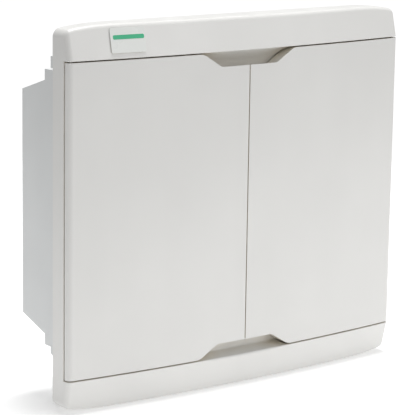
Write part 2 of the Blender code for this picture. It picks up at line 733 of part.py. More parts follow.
def make_back_box():
    """Tub that goes into the wall: rim, collar, tapered rear, lugs and screw posts."""
    tub = box_body("back_box", 0, RIM_THICKNESS / 2, box_plastic())
    rim_half_width = BOX_HALF_WIDTH + RIM_PROUD
    join(tub, box("box_rim", (-rim_half_width, GAP, RIM_LOW),
                  (rim_half_width, RIM_THICKNESS, RIM_HIGH)))
    for side, name in ((-1, "left"), (1, "right")):
        low, high = sorted((side * (BOX_HALF_WIDTH + LUG_PROUD),
                            side * (BOX_HALF_WIDTH - LUG_WIDTH)))
        join(tub, prism(f"lug_top_{name}", lug_outline(True), "X", low, high))
        join(tub, prism(f"lug_bottom_{name}", lug_outline(False), "X", low, high))
    cut(tub, box_body("box_hollow", WALL, -CUT_PAST))
    post_front = COVER_FRONT + COVER_THICKNESS + GAP
    half = POST_HALF_WIDTH
    for name, x, z in screw_places():
        side = math.copysign(1, x)
        low, high = sorted((side * (BOX_HALF_WIDTH - OVERLAP), x - side * half))
        join(tub, box(f"post_{name}", (low, post_front, z - half),
                      (high, COLLAR_DEPTH - OVERLAP, z + half)))
        cut(tub, cylinder(f"post_bore_{name}", POST_BORE, (x, post_front - CUT_PAST, z),
                          (x, POST_BORE_END, z)))
    for i, x in enumerate(KNOCKOUT_PLACES):
        for side, end in ((-1, "bottom"), (1, "top")):
            z = BOX_RAISE + side * COLLAR_HALF_HEIGHT
            cut(tub, cylinder(f"knockout_{end}_{i}", KNOCKOUT_RADIUS,
                              (x, KNOCKOUT_DEPTH, z - KNOCKOUT_RECESS),
                              (x, KNOCKOUT_DEPTH, z + KNOCKOUT_RECESS), segments=20))


def screw_places():
    """Name and place (x, z) of each cover screw."""
    return [(f"{name_z}_{name_x}", side_x * SCREW_X, BOX_RAISE + side_z * SCREW_Z)
            for side_z, name_z in ((1, "top"), (-1, "bottom"))
            for side_x, name_x in ((-1, "left"), (1, "right"))]


def make_cover_screws():
    """Slotted screws that hold the surround and the cover on the back box."""
    seat = FLANGE_FRONT - GAP
    top = seat - SCREW_HEAD_HEIGHT
    across, half_slot = SCREW_HEAD + CUT_PAST, SCREW_SLOT_WIDTH / 2
    for name, x, z in screw_places():
        screw = cylinder(f"cover_screw_{name}", SCREW_HEAD, (x, top, z), (x, seat, z), steel())
        join(screw, cylinder(f"screw_shank_{name}", SCREW_SHANK, (x, seat - OVERLAP, z),
                             (x, SCREW_END, z), segments=12))
        cut(screw, box(f"screw_slot_{name}", (x - across, top - CUT_PAST, z - half_slot),
                       (x + across, top + SCREW_SLOT_DEPTH, z + half_slot)))


# ---------------------------------------------------------------- inside the box

def row_start():
    """Left end of a row of modules."""
    return -MODULE * MODULES_PER_ROW / 2


def make_dead_front():
    """Inner cover with a slot for each row of devices."""
    back = COVER_FRONT + COVER_THICKNESS
    cover = box("dead_front", (-COVER_HALF_WIDTH, COVER_FRONT, BOX_RAISE - COVER_HALF_HEIGHT),
                (COVER_HALF_WIDTH, back, BOX_RAISE + COVER_HALF_HEIGHT), shell_plastic())
    cut_front, cut_back = COVER_FRONT - CUT_PAST, back + CUT_PAST
    half_slot = SLOT_END_GAP - row_start()
    for row, z in ROWS.items():
        cut(cover, box(f"slot_{row}", (-half_slot, cut_front, z - SLOT_HALF_HEIGHT),
                       (half_slot, cut_back, z + SLOT_HALF_HEIGHT)))
    for name, x, z in screw_places():
        cut(cover, cylinder(f"cover_hole_{name}", SCREW_HOLE, (x, cut_front, z),
                            (x, cut_back, z)))


def make_chassis():
    """Two channel uprights on the floor of the box."""
    front, back = RAIL_FACE + DIN_DEPTH + GAP, BOX_DEPTH - WALL - GAP
    sheet = UPRIGHT_SHEET
    for side, name in ((-1, "left"), (1, "right")):
        low, high = sorted((side * UPRIGHT_INNER, side * UPRIGHT_OUTER))
        bottom, top = BOX_RAISE - UPRIGHT_HALF_HEIGHT, BOX_RAISE + UPRIGHT_HALF_HEIGHT
        upright = box(f"chassis_upright_{name}", (low, front, bottom), (high, back, top), steel())
        cut(upright, box(f"channel_{name}", (low + sheet, front + sheet, bottom - CUT_PAST),
                         (high - sheet, back + CUT_PAST, top + CUT_PAST)))


def make_din_rails():
    """Top-hat rails, one for each row."""
    lip, crown, depth, wall = DIN_HALF_HEIGHT, DIN_HALF_CROWN, DIN_DEPTH, DIN_SHEET
    for row, z in ROWS.items():
        half_profile = [(0, lip), (wall, lip), (wall, crown), (depth, crown)]
        inner = [(0, -(crown - wall)), (depth - wall, -(crown - wall)),
                 (depth - wall, crown - wall), (0, crown - wall)]
        profile = half_profile + [(y, -height) for y, height in reversed(half_profile)] + inner
        outline = [(RAIL_FACE + y, z + height) for y, height in profile]
        prism(f"din_rail_{row}", outline, "X", -DIN_HALF_LENGTH, DIN_HALF_LENGTH, steel())


def device_outline(z):
    """Side view (y, z) of a device: nose, shoulders, and hooks round the rail's lips."""
    shoulder, rear = RAIL_FACE - SHOULDER_DEPTH, RAIL_FACE + HOOK_REAR
    hook = RAIL_FACE + HOOK_FRONT
    upper = [
        (NOSE_FRONT, NOSE_HALF_HEIGHT), (shoulder, NOSE_HALF_HEIGHT),
        (shoulder, DEVICE_HALF_HEIGHT), (rear, DEVICE_HALF_HEIGHT), (rear, HOOK_TIP),
        (hook, HOOK_TIP), (hook, HOOK_LIP), (RAIL_FACE - GAP, HOOK_LIP),
    ]
    lower = [(y, -height) for y, height in reversed(upper)]
    return [(y, z + height) for y, height in upper + lower]


def toggle_outline():
    """Side view (y, z) of a toggle about its pivot, with its lever towards -Y."""
    drum = arc((0, 0), TOGGLE_DRUM, 150, -150, 12)
    thick, thin = TOGGLE_TIP
    shoulder = TOGGLE_TIP_LENGTH - TOGGLE_REACH
    return drum + [(shoulder, -thick), (-TOGGLE_REACH, -thin),
                   (-TOGGLE_REACH, thin), (shoulder, thick)]


def make_toggle(name, x, z, width, finish):
    """A toggle in its pocket, switched on."""
    toggle = prism(name, toggle_outline(), "X", -width / 2, width / 2, finish)
    toggle.parent = pivot_empty(f"{name}_pivot", (x, TOGGLE_PIVOT_Y, z))
    toggle.parent.rotation_euler = (-TOGGLE_TILT, 0, 0)
    bpy.context.view_layer.update()


def make_device(name, modules, left, z):
    """A module-wide or wider switching device with its toggle."""
    right = left + modules * MODULE
    toggle_width = TOGGLE_WIDTH if modules == 1 else WIDE_TOGGLE_WIDTH
    toggle_x = (left + right) / 2 - (RCD_TOGGLE_SHIFT if name == "rcd" else 0)
    device = prism(name, device_outline(z), "X", left + DEVICE_GAP / 2, right - DEVICE_GAP / 2,
                   device_plastic())
    half = toggle_width / 2 + POCKET_GAP
    low = (toggle_x - half, NOSE_FRONT - CUT_PAST, z - POCKET_HALF_HEIGHT)
    high = (toggle_x + half, TOGGLE_PIVOT_Y + TOGGLE_DRUM + POCKET_GAP, z + POCKET_HALF_HEIGHT)
    cut(device, box(f"{name}_pocket", low, high))
    if name == "rcd":
        add_test_button(device, right - BUTTON_INSET, z)
    colour = {"main_switch": ("toggle_red", (0.55, 0.05, 0.04)),
              "rcd": ("toggle_blue", (0.05, 0.13, 0.35))}.get(
                  name, ("toggle_black", (0.04, 0.04, 0.045)))
    make_toggle(f"{name}_toggle", toggle_x, z, toggle_width, material(*colour, 0.4))


def add_test_button(device, x, z):
    """Test button of the residual-current device, in a pocket beside its toggle."""
    half = BUTTON_HALF_WIDTH
    wide = half + BUTTON_GAP
    front = NOSE_FRONT - BUTTON_TRAVEL - BUTTON_GAP / 2
    back = front + BUTTON_LENGTH
    cut(device, box("test_button_pocket", (x - wide, NOSE_FRONT - CUT_PAST, z - wide),
                    (x + wide, back + BUTTON_TRAVEL + BUTTON_GAP, z + wide)))
    button = box("rcd_test_button", (x - half, front, z - half), (x + half, back, z + half),
                 material("button_yellow", (0.75, 0.55, 0.05), 0.4))
    bevel = button.modifiers.new("edges", "BEVEL")
    bevel.width = BUTTON_GAP
    bevel.segments = 1


def make_devices():
    """Both rows of devices, and a blanking strip over each row's spare ways."""
    for row, devices in (("upper", UPPER_DEVICES), ("lower", LOWER_DEVICES)):
        left = row_start()
        for name, modules in devices:
            make_device(name, modules, left, ROWS[row])
            left += modules * MODULE
        make_blank(f"blanking_strip_{row}", left + DEVICE_GAP, -row_start(), ROWS[row])
        make_comb(f"comb_busbar_{row}", devices, ROWS[row])


def make_blank(name, left, right, z):
    """Blanking strip that closes the rest of a slot."""
    lip, plug = SLOT_HALF_HEIGHT + BLANK_LIP, SLOT_HALF_HEIGHT - GAP
    seat = COVER_FRONT - GAP
    half = [(seat - BLANK_THICKNESS, lip), (seat, lip), (seat, plug),
            (COVER_FRONT + COVER_THICKNESS, plug)]
    outline = [(y, z + up) for y, up in half] + [(y, z - up) for y, up in reversed(half)]
    prism(name, outline, "X", left, right, shell_plastic())


def make_comb(name, devices, z):
    """Comb busbar under the breakers of a row, with a tooth for each one."""
    top = z - DEVICE_HALF_HEIGHT - GAP
    root = top - COMB_TOOTH
    bottom = root - COMB_BAR
    half_tooth = COMB_TOOTH_WIDTH / 2
    left = row_start()
    centres = []
    for device, modules in devices:
        if device.startswith("mcb"):
            centres.append(left + MODULE / 2)
        left += modules * MODULE
    first, last = centres[0] - COMB_END, centres[-1] + COMB_END
    outline = [(first, bottom), (first, root)]
    for x in centres:
        outline += [(x - half_tooth, root), (x - half_tooth, top),
                    (x + half_tooth, top), (x + half_tooth, root)]
    outline += [(last, root), (last, bottom)]
    prism(name, outline, "Y", COMB_FRONT, COMB_FRONT + COMB_THICKNESS,
          material("copper", (0.72, 0.35, 0.22), 0.3, 1.0))


def make_terminal_bar(name, side, start):
    """A terminal bar with a row of wire holes, on an insulating holder."""
    z = BOX_RAISE + side * BAR_OFFSET
    half = BAR_SIZE / 2
    middle, back = BAR_FRONT + half, BAR_FRONT + BAR_SIZE
    bar = box(name, (start, BAR_FRONT, z - half), (start + BAR_LENGTH, back, z + half), brass())
    pitch = BAR_LENGTH / BAR_HOLES
    for i in range(BAR_HOLES):
        x = start + pitch * (i + 0.5)
        cut(bar, cylinder(f"{name}_hole_{i}", BAR_HOLE, (x, middle, z - half - CUT_PAST),
                          (x, middle, z + half + CUT_PAST), segments=8))
    wide = half + HOLDER_MARGIN
    holder = box(f"{name}_holder", (start - HOLDER_END, back + GAP, z - wide),
                 (start + BAR_LENGTH + HOLDER_END, COLLAR_DEPTH - WALL - GAP, z + wide),
                 material("holder_grey", (0.35, 0.37, 0.40), 0.5))
    bevel = holder.modifiers.new("edges", "BEVEL")
    bevel.width = HOLDER_EDGE
    bevel.segments = 1


def make_label_strips():
    """Blank circuit label strips above the slots."""
    half = -row_start()
    back = COVER_FRONT - GAP
    for row, z in ROWS.items():
        low = z + SLOT_HALF_HEIGHT + LABEL_RISE
        box(f"label_strip_{row}", (-half, back - LABEL_THICKNESS, low),
            (half, back, low + LABEL_HEIGHT), material("label", (0.9, 0.9, 0.88), 0.6))


def main():
    start_scene()
    make_back_box()
    make_front_frame()
    make_badge()
    make_door("door_left", -1)
    make_door("door_right", 1)
    make_hinge_pins()
    make_catch_magnets()
    make_dead_front()
    make_cover_screws()
    make_chassis()
    make_din_rails()
    make_devices()
    make_label_strips()
    make_terminal_bar("neutral_bar", 1, NEUTRAL_START)
    make_terminal_bar("earth_bar", -1, EARTH_START)


main()
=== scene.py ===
"""Looks of the breaker panel box: fine moulded shells, devices and materials round the CAD frame.

Units are metres. +Z is up, the wall surface is the plane Y = 0 and the doors face -Y.
"""

import json
import math

import bmesh
import bpy
from mathutils import Matrix, Vector


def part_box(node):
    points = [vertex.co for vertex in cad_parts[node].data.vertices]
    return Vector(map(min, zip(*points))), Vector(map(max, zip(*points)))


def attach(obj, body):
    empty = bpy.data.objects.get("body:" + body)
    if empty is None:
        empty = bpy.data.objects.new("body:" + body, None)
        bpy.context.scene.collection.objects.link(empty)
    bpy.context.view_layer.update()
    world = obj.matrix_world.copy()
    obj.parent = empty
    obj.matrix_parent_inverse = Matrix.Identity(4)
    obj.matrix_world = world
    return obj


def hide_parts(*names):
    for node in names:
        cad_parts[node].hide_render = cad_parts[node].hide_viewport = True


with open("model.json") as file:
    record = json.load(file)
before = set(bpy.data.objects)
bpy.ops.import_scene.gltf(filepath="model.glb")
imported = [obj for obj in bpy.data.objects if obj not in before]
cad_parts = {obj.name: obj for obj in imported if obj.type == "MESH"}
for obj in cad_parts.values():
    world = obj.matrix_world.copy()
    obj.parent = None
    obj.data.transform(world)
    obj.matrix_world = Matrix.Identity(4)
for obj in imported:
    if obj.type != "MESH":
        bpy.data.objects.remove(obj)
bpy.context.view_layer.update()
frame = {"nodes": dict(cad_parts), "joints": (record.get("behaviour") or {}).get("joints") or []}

MM = 0.001

# Sizes that the frame gives.
FRAME_LOW, FRAME_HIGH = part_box("front_frame")
DOOR_LOW, DOOR_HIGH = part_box("door_right")
BOX_LOW, BOX_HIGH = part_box("back_box")
JOINTS = {joint["name"]: joint for joint in frame["joints"]}
PIVOT_X, PIVOT_Y, _ = JOINTS["door_right_hinge"]["pos_m"]
HALF_WIDTH = FRAME_HIGH.x
HALF_HEIGHT = FRAME_HIGH.z
DOOR_HALF_HEIGHT = DOOR_HIGH.z
MEETING_EDGE = DOOR_LOW.x

# Bowed front.
SIDE_DEPTH = 26 * MM
BOW = -FRAME_LOW.y - SIDE_DEPTH
SIDE_ROUND = HALF_WIDTH - PIVOT_X
BARREL_RADIUS = SIDE_ROUND
SEAM_CLEARANCE = 0.4 * MM
TIP_ANGLE = 41                      # degrees round the pivot where the gutter starts
BARREL_START = 8                    # degrees round the pivot where the barrel leaves the front
TIP_ROUND = 0.9 * MM
WALL = 2.5 * MM
OVERLAP = 1 * MM
CUT_PAST = 2 * MM

# Rails of the surround.
RAIL_SEAM = 148.5 * MM
RAIL_LEAN = 0.24
LEAN_ANGLE = math.atan(RAIL_LEAN)
RAIL_ROUND = 4.5 * MM
LIP_ROUND = 0.7 * MM
REAR_ROUND = 0.6 * MM
END_DROP = 4 * MM
END_LENGTH = 50 * MM
CORNER_ROUND = 7 * MM

# Doors.
EDGE_ROUND = 0.6 * MM
DOOR_EDGE_DEPTH = 11 * MM
STILE_WIDTH = 13 * MM
PULL_HALF_FLOOR = 33.8 * MM
PULL_DEPTH = 13 * MM
PULL_SLOPE = math.radians(31.5)
PULL_FLOOR_ROUND = 10 * MM
PULL_SHOULDER_ROUND = 16 * MM
PULL_FALL = 3.2 * MM
RIB_HEIGHTS = (-75 * MM, 0, 75 * MM)
RIB_THICKNESS = 1.4 * MM
RIB_BACK = -28 * MM
BOSS_FRONT = -33.2 * MM
BOSS_MARGIN = 1 * MM
BOSS_GAP = 0.3 * MM
HOLLOW_BACK = -5 * MM               # the doors' hollows are cut out to here, behind them
CUTTER_FRONT = -60 * MM

# Pockets behind the finger pulls.
COVE_RADIUS = 14 * MM
COVE_BACK = -22 * MM
COVE_HALF_WIDTH = 58 * MM
COVE_CLEARANCE = 1.2 * MM
COVE_INNER = 129 * MM
RAMP_RISE = 3.2 * MM
RAMP_ROUND = 2.5 * MM
RAMP_DEPTH = 12 * MM
POCKET_LIP_ROUND = 2.4 * MM
POCKET_LIP_HALF = 50 * MM
POCKET_LIP_STEPS = 12

# Flange and its window.
FLANGE_FRONT = -14 * MM
FLANGE_BACK = -12 * MM
SIDE_SHELF = 8 * MM
SEAT_DEPTH = 8.8 * MM
SEAT_HEIGHT = 10 * MM
SEAT_REACH = 6 * MM                 # of a pivot seat, inward from the pivot
SEAT_STEPS = 10
PIN_BORE = 1.9 * MM
BORE_DEPTH = 11 * MM
SCREW_HOLE = 2.4 * MM
WINDOW_HALF_WIDTH = 168 * MM
WINDOW_HALF_HEIGHT = 128 * MM
BOX_RAISE = 5.5 * MM

# Back box.
COLLAR_DEPTH = 28 * MM
COLLAR_HALF = (190 * MM, 130.5 * MM)
TAPER_HALF = (189.4 * MM, 120.5 * MM)
REAR_HALF = (188.6 * MM, 107.5 * MM)
RIM_THICKNESS = 3.5 * MM
LUG_DEPTH = 17.8 * MM
LUG_WIDTH = 6 * MM
LUG_PROUD = 0.3 * MM
RIM_FRONT = 0.3 * MM
POST_HALF = 6 * MM
POST_FRONT = -8.9 * MM
POST_BORE = 2.3 * MM
POST_BORE_ENDS = (-12 * MM, 18 * MM)
TOP_LUG_HEIGHT = 11 * MM
BOTTOM_LUG_SLOPE = (7 * MM, 4 * MM)
BOX_EDGE = 1.2 * MM
KNOCKOUT_RADIUS = 10 * MM
KNOCKOUT_DEPTH = 16 * MM
KNOCKOUT_RECESS = 0.8 * MM
KNOCKOUT_PLACES = (-120 * MM, -40 * MM, 40 * MM, 120 * MM)

# Badge on the upper rail.
BADGE_SIZE = (37 * MM, 23 * MM)
BADGE_CORNER = 1.5 * MM
BADGE_HALF_THICKNESS = 0.3 * MM
BAR_SIZE = (33 * MM, 4 * MM)
BAR_CORNER = 1.2 * MM
BAR_MIDDLE = (0.8 * MM, 3 * MM)
BAR_PROUD = 0.12 * MM
BAR_SUNK = 0.05 * MM

# Devices.
MODULE = 17.5 * MM
TOGGLE_DRUM = 4.6 * MM
TOGGLE_REACH = 12.3 * MM
TOGGLE_TIP = 1 * MM
TOGGLE_TILT = math.radians(-28)
NECK = ((-5.6 * MM, -2.25 * MM), (-6.8 * MM, -2.05 * MM))   # (y, z) where a lever leaves its drum
RIDGES = 3
RIDGE_START = -7.4 * MM
RIDGE_PITCH = 1.3 * MM
RIDGE_PROFILE = ((0, 1.95 * MM), (0.35 * MM, 1.55 * MM), (0.8 * MM, 1.55 * MM), (1.1 * MM, 1.9 * MM))
DETAIL_SUNK = 0.2 * MM
RATING_PLATE = (5.6 * MM, 0.25 * MM, -19.5 * MM, -11.5 * MM)   # half width, proud, bottom, top
STATE_WINDOW = (2.2 * MM, 0.15 * MM, 12 * MM, 14.4 * MM)

# Rounding and smoothing.
SHARP_ANGLE = 35
WELD_REACH = 0.01 * MM


# ---------------------------------------------------------------- mesh tools

def new_object(name, mesh):
    obj = bpy.data.objects.new(name, mesh)
    bpy.context.scene.collection.objects.link(obj)
    return obj


def from_bmesh(name, work):
    """An object from a bmesh, with its faces pointing out."""
    bmesh.ops.recalc_face_normals(work, faces=work.faces)
    mesh = bpy.data.meshes.new(name)
    work.to_mesh(mesh)
    work.free()
    return new_object(name, mesh)


def box(name, low, high):
    low, high = Vector(low), Vector(high)
    size = Matrix.Translation((low + high) / 2) @ Matrix.Diagonal((*(high - low), 1.0))
    work = bmesh.new()
    bmesh.ops.create_cube(work, size=1, matrix=size)
    return from_bmesh(name, work)


def rod(name, radius, start, end, segments=32):
    """A cylinder between two points."""
    start, end = Vector(start), Vector(end)
    along = end - start
    turn = along.to_track_quat("Z", "Y").to_matrix().to_4x4()
    work = bmesh.new()
    bmesh.ops.create_cone(work, cap_ends=True, segments=segments, radius1=radius, radius2=radius,
                          depth=along.length, matrix=Matrix.Translation((start + end) / 2) @ turn)
    return from_bmesh(name, work)


PLACERS = {
    "X": lambda a, b, along: (along, a, b),     # outline points are (y, z)
    "Y": lambda a, b, along: (a, along, b),     # outline points are (x, z)
    "Z": lambda a, b, along: (a, b, along),     # outline points are (x, y)
}


def prism(name, outline, axis, low, high):
    """An outline drawn across an axis and extruded along it from low to high."""
    return loft(name, [[PLACERS[axis](a, b, along) for a, b in outline] for along in (low, high)])


def loft(name, rings):
    """A closed skin over rings of points that have the same count, capped at both ends."""
    work = bmesh.new()
    layers = [[work.verts.new(point) for point in ring] for ring in rings]
    count = len(layers[0])
    for ring, following in zip(layers, layers[1:]):
        for i in range(count):
            j = (i + 1) % count
            work.faces.new((ring[i], ring[j], following[j], following[i]))
    work.faces.new(layers[0])
    work.faces.new(layers[-1])
    return from_bmesh(name, work)


def combine(target, tool, operation):
    """Apply a Boolean to a piece at once and remove the tool."""
    modifier = target.modifiers.new("combine", "BOOLEAN")
    modifier.operation = operation
    modifier.solver = "EXACT"
    modifier.object = tool
    apply_modifiers(target)
    bpy.data.objects.remove(tool, do_unlink=True)


def cut(target, tool):
    combine(target, tool, "DIFFERENCE")


def join(target, tool):
    combine(target, tool, "UNION")


def apply_modifiers(obj):
    bpy.context.view_layer.update()
    evaluated = obj.evaluated_get(bpy.context.evaluated_depsgraph_get())
    mesh = bpy.data.meshes.new_from_object(evaluated)
    obj.modifiers.clear()
    obj.data = mesh


def arc(centre, radius, start, end, segments):
    """Points of an arc, with both ends, for angles in degrees."""
    angles = [math.radians(start + (end - start) * i / segments) for i in range(segments + 1)]
    return [(centre[0] + radius * math.cos(a), centre[1] + radius * math.sin(a)) for a in angles]


def rounded(corners, segments=6):
    """An outline whose corners, given as (x, y, radius), are rounded with arcs."""
    points = []
    count = len(corners)
    for i, (x, y, radius) in enumerate(corners):
        corner = Vector((x, y))
        if radius == 0:
            points.append(tuple(corner))
            continue
        before = (Vector(corners[i - 1][:2]) - corner).normalized()
        after = (Vector(corners[(i + 1) % count][:2]) - corner).normalized()
        half = before.angle(after) / 2
        centre = corner + (before + after).normalized() * radius / math.sin(half)
        first = corner + before * radius / math.tan(half) - centre
        last = corner + after * radius / math.tan(half) - centre
        for step in range(segments + 1):
            direction = first.lerp(last, step / segments).normalized()
            points.append(tuple(centre + direction * radius))
    return points


def mirrored(outline):
    return [(-across, up) for across, up in reversed(outline)]


def soften(obj, width, segments=3, angle=SHARP_ANGLE):
    """Round the sharp edges and shade the curved faces smooth."""
    bevel = obj.modifiers.new("edges", "BEVEL")
    bevel.width = width
    bevel.segments = segments
    bevel.limit_method = "ANGLE"
    bevel.angle_limit = math.radians(angle)
    bevel.harden_normals = True
    obj.data.shade_smooth()
    obj.data.set_sharp_from_angle(angle=math.radians(angle))
    normals = obj.modifiers.new("normals", "WEIGHTED_NORMAL")
    normals.keep_sharp = True


def soften_cad(obj, width, segments=2):
    """Weld a CAD node's loose facets, then round its edges."""
    weld = obj.modifiers.new("weld", "WELD")
    weld.merge_threshold = WELD_REACH
    bevel = obj.modifiers.new("edges", "BEVEL")
    bevel.width = width
    bevel.segments = segments
    bevel.limit_method = "ANGLE"
    bevel.angle_limit = math.radians(SHARP_ANGLE)


def finish_piece(obj, body, finish, replaces=()):
    """Give a piece its material, its body and the nodes that it stands for."""
    obj.data.materials.clear()
    obj.data.materials.append(finish)
    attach(obj, body)
    if replaces:
        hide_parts(*replaces)


# ---------------------------------------------------------------- materials

RECESS_REACH = 16 * MM
RECESS_RANGE = (0.25, 0.85)         # openness at which the painted shade is full, and at which it ends
PAINTED_SHADE_FADE = (158 * MM, 170 * MM)    # distance above or below the middle where the painted shade ends

# Sockets of a colour Mix node.
MIX_FACTOR, MIX_FIRST, MIX_SECOND, MIX_RESULT = 0, 6, 7, 2

# Noise scales, in cells per metre.
CLOUD_SCALE = 9.0
FLOW_SCALE = 30.0
GLOSS_SCALE = 55.0
GRAIN_SCALE = 900.0
WAVE_SCALE = 28.0
BRUSH_SCALE = 260.0
TARNISH_SCALE = 40.0
FIBRE_SCALE = 700.0
FILM_SCALE = 80.0
FLOOR_SCALE = 3.0

WHITE = (1.0, 1.0, 1.0, 1.0)
PLASTIC_IOR = 1.52
LINE_SHARE = 0.035                  # of a label's cell


class Nodes:
    """Short ways to build one material's nodes."""

    def __init__(self, name):
        self.material = bpy.data.materials.new(name)
        self.material.use_nodes = True
        self.tree = self.material.node_tree
        self.shader = self.tree.nodes["Principled BSDF"]
        self.coordinates = self.tree.nodes.new("ShaderNodeTexCoord").outputs["Object"]

    def node(self, kind, links=None, **settings):
        made = self.tree.nodes.new(kind)
        for key, value in settings.items():
            setattr(made, key, value)
        for socket, source in (links or {}).items():
            if isinstance(source, bpy.types.NodeSocket):
                self.tree.links.new(source, made.inputs[socket])
            else:
                made.inputs[socket].default_value = source
        return made

    def stretched(self, scale):
        return self.node("ShaderNodeMapping", {"Vector": self.coordinates, "Scale": scale}).outputs[0]

    def noise(self, scale, detail=3.0, vector=None):
        return self.node("ShaderNodeTexNoise", {"Vector": vector or self.coordinates, "Scale": scale,
                                                "Detail": detail}).outputs["Fac"]

    def recess(self, reach):
        """How open the surface is to its surroundings: low in gaps and corners."""
        return self.node("ShaderNodeAmbientOcclusion", {"Distance": reach}, samples=8).outputs["AO"]

    def ranged(self, value, low, high, start=0.3, stop=0.7):
        return self.node("ShaderNodeMapRange", {"Value": value, "From Min": start, "From Max": stop,
                                                "To Min": low, "To Max": high}).outputs[0]

    def mix(self, factor, first, second, blend="MIX"):
        sources = {MIX_FACTOR: factor, MIX_FIRST: first, MIX_SECOND: second}
        made = self.node("ShaderNodeMix", sources, data_type="RGBA", blend_type=blend)
        return made.outputs[MIX_RESULT]

    def math(self, operation, first, second=0.0):
        return self.node("ShaderNodeMath", {0: first, 1: second}, operation=operation).outputs[0]

    def bump(self, height, strength, distance, normal=None):
        links = {"Height": height, "Strength": strength, "Distance": distance}
        if normal:
            links["Normal"] = normal
        return self.node("ShaderNodeBump", links).outputs[0]

    def set(self, **inputs):
        for name, source in inputs.items():
            socket = self.shader.inputs[name.replace("_", " ")]
            if isinstance(source, bpy.types.NodeSocket):
                self.tree.links.new(source, socket)
            else:
                socket.default_value = source


def shade(colour, factor):
    return (*(min(1.0, c * factor) for c in colour), 1.0)


def plastic(name, colour, roughness, grain=0.04, streaks=0.012, cloud=0.02, painted_shade=None):
    """Moulded plastic: faint clouds and flow streaks, uneven gloss, fine surface grain, and,
    when a shade tint is given, painted shade that darkens and warms the colour in recesses and gaps."""
    nodes = Nodes(name)
    clouds = nodes.noise(CLOUD_SCALE, 2.0)
    flow = nodes.noise(FLOW_SCALE, 2.0, nodes.stretched((1.0, 1.0, 0.06)))
    tone = nodes.mix(nodes.ranged(clouds, 0.0, 1.0), shade(colour, 1 - cloud),
                     shade(colour, 1 + cloud))
    streaked = nodes.mix(nodes.ranged(flow, 0.0, 1.0), shade(WHITE[:3], 1 - streaks), WHITE)
    base = nodes.mix(1.0, tone, streaked, "MULTIPLY")
    # Painted shade: ambient occlusion darkens and warms the colour in gaps, recesses and corners,
    # faded out towards the top and bottom.
    if painted_shade:
        hidden = nodes.ranged(nodes.recess(RECESS_REACH), 1.0, 0.0, *RECESS_RANGE)
        height = nodes.node("ShaderNodeSeparateXYZ", {0: nodes.coordinates}).outputs["Z"]
        inside = nodes.ranged(nodes.math("ABSOLUTE", height), 1.0, 0.0, *PAINTED_SHADE_FADE)
        hidden = nodes.math("MULTIPLY", hidden, inside)
        base = nodes.mix(hidden, base, (*painted_shade, 1.0), "MULTIPLY")
    gloss = nodes.ranged(nodes.noise(GLOSS_SCALE, 4.0), roughness - 0.05, roughness + 0.06)
    skin = nodes.bump(nodes.noise(GRAIN_SCALE, 3.0), grain, 0.25 * MM)
    wave = nodes.bump(nodes.noise(WAVE_SCALE, 1.0), 0.05, 0.4 * MM, skin)
    nodes.set(Base_Color=base, Roughness=gloss, Normal=wave, IOR=PLASTIC_IOR)
    return nodes.material


def metal(name, colour, roughness, brush=(1.0, 40.0, 40.0), tarnish=0.15):
    """Drawn or rolled metal: brushed grain along X and blotches of tarnish."""
    nodes = Nodes(name)
    grain = nodes.noise(BRUSH_SCALE, 4.0, nodes.stretched(brush))
    blotch = nodes.ranged(nodes.noise(TARNISH_SCALE, 5.0), 0.0, 1.0, 0.35, 0.7)
    tone = nodes.mix(blotch, shade(colour, 1.0), shade(colour, 1 - tarnish))
    gloss = nodes.math("ADD", nodes.ranged(grain, roughness - 0.06, roughness + 0.08),
                       nodes.ranged(blotch, 0.0, 0.10, 0.0, 1.0))
    nodes.set(Base_Color=tone, Roughness=gloss, Metallic=1.0,
              Normal=nodes.bump(grain, 0.12, 0.1 * MM))
    return nodes.material


def ruled_label(name, colour, line, pitch, start):
    """Paper label with one printed line between circuits, under a clear film."""
    nodes = Nodes(name)
    across = nodes.node("ShaderNodeSeparateXYZ", {0: nodes.coordinates}).outputs["X"]
    cell = nodes.math("FRACT", nodes.math("DIVIDE", nodes.math("SUBTRACT", across, start), pitch))
    printed = nodes.math("LESS_THAN", cell, LINE_SHARE)
    fibres = nodes.noise(FIBRE_SCALE, 4.0, nodes.stretched((1.0, 1.0, 3.0)))
    paper = nodes.mix(nodes.ranged(fibres, 0.0, 1.0), shade(colour, 0.96), shade(colour, 1.02))
    nodes.set(Base_Color=nodes.mix(printed, paper, (*line, 1.0)),
              Roughness=nodes.ranged(nodes.noise(FILM_SCALE), 0.22, 0.34), Coat_Weight=0.3,
              Normal=nodes.bump(fibres, 0.08, 0.1 * MM))
    return nodes.material


